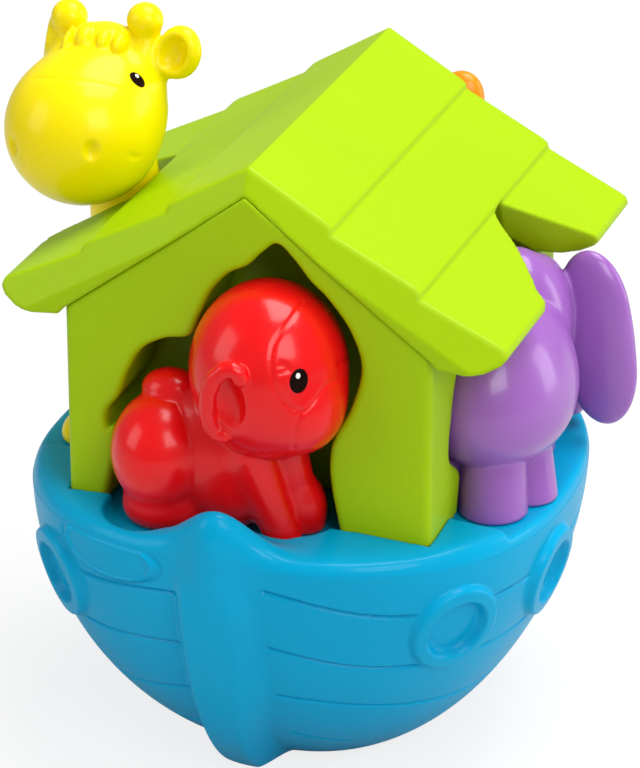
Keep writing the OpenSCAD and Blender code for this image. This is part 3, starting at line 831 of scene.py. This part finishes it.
def hull_visual():
    """The hull: outer skin, rim and inner skin as one, a floor, and the bosses with their counterbores."""
    a, seam, p = hull_skin()
    count = len(a)
    rows = list(p) + [np.stack([*plan_xy(a, 1.0, SKIN), seam], -1)]
    for z in INNER_LEVELS:
        level = np.full(count, float(z))
        rows.append(np.stack([*plan_xy(a, belly(level), SKIN), level], -1))
    verts = [tuple(v) for v in np.concatenate(rows)]
    faces = [tuple(f) for f in ring_faces(count, len(rows))]

    def add(pts, more):
        b = len(verts)
        verts.extend(tuple(q) for q in pts)
        faces.extend(tuple(b + int(i) for i in f) for f in more)

    sparse = max(1, count // 260)
    add(*plate_with_holes(rows[0][::sparse, :2], COUNTERBORE_R, 0.0, False))
    add(*plate_with_holes(rows[-1][::sparse, :2], BOSS_R, SKIN, True))
    profile = [(COUNTERBORE_R, 0.0), (COUNTERBORE_R, COUNTERBORE_TOP), (SCREW_R, COUNTERBORE_TOP),
               (SCREW_R, BOSS_TOP), (BOSS_R - 0.2, BOSS_TOP), (BOSS_R, BOSS_TOP - 0.2), (BOSS_R, SKIN)]
    for cx, cy in POSTS:
        pts = [(qx, qy, z) for r, z in profile for qx, qy in circle(cx, cy, r)]
        add(pts, ring_faces(40, len(profile))[:, ::-1])
    me = bpy.data.meshes.new("hull_visual")
    me.from_pydata([tuple(float(c) * MM for c in v) for v in verts], [], [list(map(int, f)) for f in faces])
    me.validate()
    me.update()
    me.polygons.foreach_set("use_smooth", np.ones(len(me.polygons), bool))
    me.set_sharp_from_angle(angle=CORNER_SMOOTH)
    return link("hull_visual", me)


stand_in(hull_visual(), "hull", "ark", "hull")


# Deck
def well_field(x, y, z):
    """The wells that the animals' feet stand in."""
    haunch = circle_field(x, y, -26, -66.5, 16)
    hands = circle_field(x, y, 14, -60, 11.8)
    middle = block_field(x, y, -5, -62, 19, 9.8)
    near_hand = circle_field(x, y, 13.2, -67.6, 6.0)
    monkey = smin(smin(smin(haunch, hands, 3), middle, 6), near_hand, 1)
    elephant = block_field(x, y, 80, 0.25, 30, 44.75)
    giraffe = block_field(x, y, -80, 1, 30, 37)
    lion = block_field(x, y, 0, 80, 30.5, 30)
    wells = np.minimum(np.minimum(monkey, elephant), np.minimum(giraffe, lion))
    return smax(wells, F32(83) - z, 1.2)


def deck_top(x, y):
    """Height of the deck's domed top, with its wave over the bow, and of the hull's rim below it."""
    out = y + np.where(y < 0, F32(5.0) * stem_share(x, 90.0), 0)
    dy, ry, s = plan_place(x, out)
    end_share = np.clip(np.abs(dy) / (ry * s), 0, 1) ** F32(PLAN_P)
    inward = np.maximum(0, (F32(1) - s) * np.sqrt(x * x + dy * dy) / s)
    low, high = rim_z(end_share), F32(DECK - 1.2) + F32(0.8) * end_share
    share = 1 - np.exp(-inward / F32(1.9))
    top = low + (high - low) * share + (F32(DECK) - high) * smoothstep(inward, 6, 24)
    bell = np.exp(-((x - F32(0.8)) / F32(12.5)) ** 2 * np.where(x < 0.8, 0.85, 1.15))
    front = (y < 0) * (1 - smoothstep(inward, 5, 13)) * (0.45 + 0.55 * share)
    return top + F32(14.2) * bell * front, low


def deck_field(x, y, z):
    top, rim = deck_top(x, y)
    out = hull_field(x, y, np.minimum(z, F32(RIM + 0.01)))
    f = smax(smax(out, (z - top) * F32(0.9), 3.0), -well_field(x, y, z), 1.6)
    seam = rim - F32(SEAM_DROP) + F32(0.03)
    lap = np.maximum(seam - F32(1.5) - z, out + F32(0.1))
    inner = np.maximum(F32(DECK - 9) - z, out + F32(2.9))
    f = np.maximum(f, np.minimum(np.minimum(seam - z, lap), inner))
    house_seat = rbox(x, y, z, (-HOUSE_X - 0.15, HOUSE_FRONT - 0.15, HOUSE_FOOT - 0.1),
                      (HOUSE_X + 0.15, HOUSE_BACK + 0.15, 120), 0.1)
    f = np.maximum(f, -house_seat)
    for cx, cy in POSTS:
        f = np.maximum(f, -circle_field(x, y, cx, cy, SCREW_R))
    return f


deck = field_mesh("deck_visual", deck_field, (-83, -97, 77), (83, 84, 102), 0.62)
stand_in(deck, "hull", "ark", "deck")


# Helpers for the animals
def normal_at(q, field):
    """The field's outward normal at a point."""
    h = 0.2
    g = np.array([value_at(field, q + h * e) - value_at(field, q - h * e) for e in np.eye(3)])
    return g / np.linalg.norm(g)


def traced(pixels, field, lift=0.0):
    """Chain of points on a surface behind the given pixels, lifted off it by one amount or by one each."""
    lifts = lift if isinstance(lift, list) else [lift] * len(pixels)
    hits = [(on_surface(px, field), up) for px, up in zip(pixels, lifts)]
    return np.array([q + normal_at(q, field) * up for q, up in hits if q is not None])


def surface_axes(q, field, spin=0.0):
    """Axes across, out of and up a surface, turned by spin degrees about the way out."""
    n = normal_at(q, field)
    t = np.cross(np.array([0.0, 0.0, 1.0]), n)
    t /= np.linalg.norm(t)
    u = np.cross(n, t)
    a = math.radians(spin)
    return t * math.cos(a) + u * math.sin(a), n, -t * math.sin(a) + u * math.cos(a)


def pad(x, y, z, c, axes, r):
    """Ellipsoid lying on a surface: r is (across, out, up)."""
    return ell(x, y, z, c, r, np.stack(axes, 1).astype(F32))


def on_feet(x, y, z, f, foot_blend, plug_x, plug_y, plug_z=FEET):
    """The field cut flat at FEET, with the stepped seat of the plug in its underside."""
    f = smax(f, F32(FEET) - z, foot_blend)
    lip = np.maximum(circle_field(x, y, plug_x, plug_y, 6.1), z - F32(plug_z + 2.4))
    bore = np.maximum(circle_field(x, y, plug_x, plug_y, 4.8), z - F32(plug_z + 9))
    return np.maximum(f, -np.minimum(lip, bore))


def eye(name, body, field, pupil, size, spin, glint, glint_size):
    """Eye: a thin printed dark oval at the pixel pupil, with a small white dot at the pixel glint, a painted
    highlight standing for a lamp's reflection.
    """
    middle = on_surface(pupil, field)
    t, n, u = surface_axes(middle, field, spin)

    def eye_mark_on(tag, centre, ra, rb, thick, look, step):
        def oval(x, y, z):
            d = [x - F32(centre[0]), y - F32(centre[1]), z - F32(centre[2])]
            s, h, w = (d[0] * F32(e[0]) + d[1] * F32(e[1]) + d[2] * F32(e[2]) for e in (t, n, u))
            edge = (np.sqrt((s / F32(ra)) ** 2 + (w / F32(rb)) ** 2) + F32(1e-4) - 1) * F32(min(ra, rb))
            skin = field(x, y, z)
            f = np.maximum(smax(skin - F32(thick), edge, 0.25), F32(-0.5) - skin)
            return np.maximum(f, np.abs(h) - F32(4))

        m = max(ra, rb) + 1.5
        ob = field_mesh(name + tag, oval, centre - m, centre + m, step)
        dress(ob, look)
        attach(ob, body)

    eye_mark_on("_pupil", middle, size[0], size[1], 0.22, "eye_dark", 0.2)
    # The glint is a painted highlight: white laid on the eye where a lamp's reflection shows.
    eye_mark_on("_glint", on_surface(glint, field), glint_size, glint_size * 1.2, 0.36, "eye_painted_highlight", 0.12)


def animal(node, field, lo, hi, step):
    """The animal's piece, between two corners, in place of its CAD node."""
    ob = field_mesh(node + "_visual", field, lo, hi, step)
    stand_in(ob, node, node + "_body", node)


# Monkey
MONKEY_HEAD = (((7.3, -63.2, 134.5), (23.0, 23.0, 26.6), 0), ((20.0, -68.5, 126.0), (10.8, 13.5, 12.0), 5))
# Torso, haunch, tail, hind foot and belly
MONKEY_BODY = (((-9.5, -61.0, 105), (23.5, 14.2, 21.5), 0), ((-24.4, -65.6, 105.2), (15.3, 17.0, 17.8), 0.9),
               ((-23.5, -61.5, 122.6), (8.8, 7.0, 6.2), 1.5), ((-24.2, -66.6, 88.0), (12.4, 11.2, 8.0), 4.5),
               ((-3, -61.0, 95.5), (14, 12.8, 12.4), 3.0))
FACE_SEAM = [(310.6, 289.4), (302, 301), (293, 316), (284, 328), (278, 336.5), (273, 346), (271, 356),
             (271, 367), (272.4, 377.6), (274.5, 387), (278, 395), (283.5, 402), (290, 407), (297, 410.5),
             (304.7, 411.5), (310, 406), (316.5, 398), (321, 392), (325, 386.5), (332, 381.5), (340, 377.6)]
CHIN_SEAM = [(301.8, 411.5), (298.5, 418), (296, 424.7), (293.6, 436.5), (293.2, 449)]
BROW = [(338, 364.5), (343, 361), (348.5, 356.5)]
LASHES = [[(279, 366.5), (284, 367), (289, 369)], [(281, 362.5), (285.5, 364.5), (289.5, 367.5)],
          [(279.5, 373.5), (284.5, 371.5), (289, 371)]]
EAR_RIM = [(241, 378), (240, 372.5), (235.5, 369), (228, 369.5), (219.5, 377), (214, 390), (212, 407),
           (213.5, 421), (218, 430), (224, 434)]
EAR_LIFT = [0.4, 1.3, 2.0, 2.3, 2.4, 2.3, 2.0, 1.5, 0.9, 0.2]
EAR_MIDDLE = (224.5, 403)


def monkey_head(x, y, z):
    return blobs(x, y, z, MONKEY_HEAD)


monkey_lines = [(traced(px, monkey_head), depth, width) for px, depth, width in
                [(FACE_SEAM, 0.5, 0.5), (CHIN_SEAM, 0.5, 0.6), (BROW, 0.55, 0.6)]
                + [(lash, 0.45, 0.45) for lash in LASHES]]
monkey_rim = traced(EAR_RIM, monkey_head, EAR_LIFT)
ear_middle = on_surface(EAR_MIDDLE, monkey_head)
ear_across, ear_out, _ = surface_axes(ear_middle, monkey_head)
ear_hollow = (ear_middle + ear_across * 1.2 + ear_out * 0.5, surface_axes(ear_middle, monkey_head, 4))


def monkey_field(x, y, z):
    h = grooved(x, y, z, monkey_head(x, y, z), monkey_lines)
    h = smax(h, -pad(x, y, z, *ear_hollow, (5.6, 3.6, 9.6)), 0.8)
    h = smin(h, line_distance(x, y, z, monkey_rim) - F32(2.5), 0.7)
    h = smin(h, ell(x, y, z, (12.5, -42.7, 133.5), (6, 4, 10), rotm(rz=-14)), 1.5)
    near_arm = cone(x, y, z, (4.6, -70.0, 110), (13.2, -67.6, 83), 5.9, 5.4)
    far_arm = cone(x, y, z, (12.4, -62.5, 110), (16.2, -58.0, 83), 5.8, 5.8)
    far_arm = smin(far_arm, ell(x, y, z, (16.4, -59.0, 90.5), (6.6, 7.0, 8.6)), 3.0)
    f = smin(smin(blobs(x, y, z, MONKEY_BODY), near_arm, 4.0), far_arm, 1.1)
    return on_feet(x, y, z, smin(h, f, 0.9), 1.0, -26, -65)


animal("monkey", monkey_field, (-42, -93, 82), (34, -36, 163), 0.62)
eye("monkey_eye", "monkey_body", monkey_head, (299, 381), (2.75, 3.55), -14, (297.8, 375.8), 0.72)

# Elephant
ELEPHANT_HEAD = (((56.8, 12.5, 122.5), (17.5, 15.5, 26.0), 0), ((62.5, 17.5, 124), (10.5, 14, 21), 2.0))
ELEPHANT_TRUNK = (((57, 37, 109), (9, 9, 12), 0), ((62, 40, 98), (7.5, 7.5, 9), 3),
                  ((68, 36, 92), (6, 6, 6), 3))
# Legs in front of the hind pair: top, foot and their radii
FRONT_LEGS = (((66, -10, 107), (71.5, -16.5, 80), 8.4, 9.0), ((47, 9, 107), (45, 10, 80), 8.6, 9.3),
              ((61, 13, 107), (61.5, 14, 80), 8.0, 8.6))
EAR_MID, EAR_HALF = np.array([79.0, 26.5, 117.2]), 7.5
TOE_DEGREES = (-44, -12, 20)


def toe_arc(deg):
    """Arch of one toenail on the near hind leg."""
    t = np.linspace(0, math.pi, 7)
    a = np.radians(deg + 13 * np.cos(t))
    return np.stack([64.8 + 10.45 * np.cos(a), -30.4 + 10.45 * np.sin(a), 85.2 + 5.5 * np.sin(t)], 1)


toe_lines = [(toe_arc(deg), 0.6, 0.55) for deg in TOE_DEGREES]


def elephant_ear(x, y, z):
    """The flat ear, with a shallow hollow in its front."""
    turn = rotm(ry=-8, rz=-3)
    up = turn @ np.array([0, 0, EAR_HALF])
    ear = smin(ell(x, y, z, EAR_MID + up - (0.1, 0, 0), (11.4, 5.6, 20.4), turn),
               ell(x, y, z, EAR_MID - up, (11.4, 5.6, 20.6), turn), 4.0)
    return ear + F32(0.5) * np.exp(-(((x - 80.5) / 6.5) ** 2 + ((z - 116) / 15) ** 2)) * (y < 26)


def elephant_head(x, y, z):
    head = smin(blobs(x, y, z, ELEPHANT_HEAD), elephant_ear(x, y, z), 1.6)
    head = smin(head, ell(x, y, z, (68, 26.5, 115), (8, 4.5, 12)), 2.0)
    far_ear = ell(x, y, z, (42, 27, 117), (6, 5, 18))
    return smin(head, smin(far_ear, blobs(x, y, z, ELEPHANT_TRUNK), 2), 2.0)


def elephant_field(x, y, z):
    """The whole elephant; its rump and hind legs are with the house, whose pocket clears them."""
    legs = np.minimum(grooved(x, y, z, near_hind_leg(x, y, z), toe_lines), far_hind_leg(x, y, z))
    for top, foot, r_top, r_foot in FRONT_LEGS:
        legs = np.minimum(legs, cone(x, y, z, top, foot, r_top, r_foot))
    f = smin(smin(elephant_rump(x, y, z), legs, 0.6), elephant_head(x, y, z), 1.4)
    return on_feet(x, y, z, f, 0.8, 58, -10, DECK + 7.6)


animal("elephant", elephant_field, (34, -43.5, 82), (94, 50, 151), 0.68)

# Giraffe
GIRAFFE_HEAD = (((-69.0, -15.0, 180.6), (23.4, 24.0, 23.2), 0), ((-65.5, -7.5, 187.5), (18.5, 17.5, 18.5), 6))
# Body, front foot and rear foot
GIRAFFE_BODY = (((-59, 1.5, 107), (18, 28, 24), 0), ((-67, -20, 85), (8, 12, 5.5), 2),
                ((-64.5, 18, 94), (9.5, 13, 13), 3))
CROWN = np.array([-66.1, -2.0, 210.6])
# Locks of the fringe: the place along x and z, and the radii along them
LOCKS = ((-75.3, 203.6, 1.9, 4.6), (-69.9, 205.6, 3.5, 4.9), (-63.8, 205.9, 2.9, 4.4),
         (-59.0, 205.6, 2.6, 4.0))
HEAD_SEAM = [(33, 78.5), (45, 78.3), (58, 78.8), (70, 79.6), (82, 80.8), (95, 82.3), (107, 85), (118, 88.5),
             (128, 92.5)]
SMILE = [(130, 154.5), (134, 157.5), (139, 156.5)]
NOSTRILS = ((91.5, 150.5), (12.5, 145.5))


def giraffe_ball(x, y, z):
    return blobs(x, y, z, GIRAFFE_HEAD)


giraffe_lines = [(traced(HEAD_SEAM, giraffe_ball), 0.3, 0.55), (traced(SMILE, giraffe_ball), 0.6, 0.7)]
nostril_places = [on_surface(px, giraffe_ball) for px in NOSTRILS]


def giraffe_ear(x, y, z, side):
    """Cupped ear: a thick dish that opens forwards; the left one is turned further."""
    c = CROWN + (np.array([23.4, -1.5, -7.2]) if side > 0 else np.array([-17.3, 2.5, -9.6]))
    turn = rotm(rx=-8, ry=16 * side, rz=-14 if side > 0 else -72)
    dish = ell(x, y, z, c, (7.0, 4.8, 8.2), turn)
    scoop = ell(x, y, z, c + turn @ np.array([0, -1, 0]) * 4.2, (4.4, 4.4, 5.6), turn)
    root = CROWN + np.array([9.0 * side + 0.5, 0.5, -17.0])
    stalk = cone(x, y, z, root, c + np.array([-2.5 * side, 1, -2.0]), 5.4, 4.6)
    return smax(smin(dish, stalk, 3.0), -scoop, 1.6)


def giraffe_horn(x, y, z, side):
    """A horn with a round knob."""
    top = CROWN + np.array([12.1 * side, 0, 0.9 * side])
    foot = top + np.array([-0.6 * side, -3.5, -17.0])
    stalk = cone(x, y, z, foot, top + np.array([0, 0, -4.0]), 7.0, 4.4)
    return smin(stalk, ell(x, y, z, top, (5.45, 5.45, 5.35)), 1.2)


def giraffe_field(x, y, z):
    f = grooved(x, y, z, giraffe_ball(x, y, z), giraffe_lines)
    for q in nostril_places:
        d = np.sqrt((x - F32(q[0])) ** 2 + (y - F32(q[1])) ** 2 + ((z - F32(q[2])) * F32(0.8)) ** 2)
        f = f + F32(1.9) * np.exp(-(d / F32(2.0)) ** 4)
    for side in (-1, 1):
        f = smin(smin(f, giraffe_horn(x, y, z, side), 4.0), giraffe_ear(x, y, z, side), 1.6)
    f = smin(f, ell(x, y, z, (-65.2, -5.2, 204.6), (9.6, 7.0, 5.8)), 1.5)
    f = blobs(x, y, z, [((cx, -7.4, cz), (rx, 6.6, rz), 0.5) for cx, cz, rx, rz in LOCKS], f)
    f = smin(f, cone(x, y, z, (-61, 2, 121), (-64, 0.5, 177), 12, 10), 1.5)
    f = smin(f, blobs(x, y, z, GIRAFFE_BODY), 2.5)
    return on_feet(x, y, z, f, 1.0, -58, 2)


animal("giraffe", giraffe_field, (-94.5, -41, 82), (-35, 33, 218), 0.68)
eye("giraffe_eye", "giraffe_body", giraffe_ball, (137.6, 79.6), (1.95, 2.85), 27, (136.6, 76.3), 0.62)

# Lion
MANE_WAVES = 12
# Face and muzzle, then belly and chest
LION_FACE = (((0, 66, 144), (21.5, 20, 21), 0), ((0, 83, 138), (10, 7.8, 7.5), 3))
LION_BODY = (((0, 58, 107), (23.5, 18, 26), 0), ((0, 66, 122), (12, 14, 12), 4))


def lion_face(x, y, z):
    return blobs(x, y, z, LION_FACE)


def lion_field(x, y, z):
    wave = F32(0.9) * np.cos(np.arctan2(z - F32(144), x) * MANE_WAVES)
    f = smin(lion_face(x, y, z), ell(x, y, z, (0, 63, 144), (25.6, 14, 25.6)) - wave, 1.2)
    f = smin(f, blobs(x, y, z, LION_BODY), 1.5)
    for s in (-1, 1):
        turn = rotm(ry=20 * s)
        ear = ell(x, y, z, (19.2 * s, 71, 166.8 + 0.8 * s), (8.4, 5.6, 12), turn)
        scoop = ell(x, y, z, (19.8 * s, 76.5, 167.8 + 0.8 * s), (4.6, 3.4, 7.2), turn)
        f = smin(f, smax(ear, -scoop, 1.5), 1.5)
        haunch, foot = ((17 * s, 60, 98), (9.5, 14, 15), 1.5), ((15.5 * s, 70.5, 87.5), (7.5, 8.5, 6), 1.2)
        f = blobs(x, y, z, (haunch, foot), f)
        f = smin(f, cone(x, y, z, (7 * s, 64, 113), (8 * s, 67.5, 83), 5.2, 6.3), 1.2)
    return on_feet(x, y, z, f, 1.0, 0, 56)


def lion_eye(name, side):
    """Dark oval eye, set on the face by stepping in from behind the toy."""
    q = np.array([8.2 * side, 86.0, 149.0])
    for _ in range(60):
        q = q - np.array([0, 1.0, 0]) * max(value_at(lion_face, q), 0.0) * 0.7
    axes = surface_axes(q, lion_face)
    ob = field_mesh(name, lambda x, y, z: pad(x, y, z, q, axes, (2.2, 0.45, 2.9)), q - 4, q + 4, 0.25)
    dress(ob, "eye_dark")
    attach(ob, "lion_body")


animal("lion", lion_field, (-33, 38, 82), (33, 93, 182), 0.8)
lion_eye("lion_eye_right", -1)
lion_eye("lion_eye_left", 1)
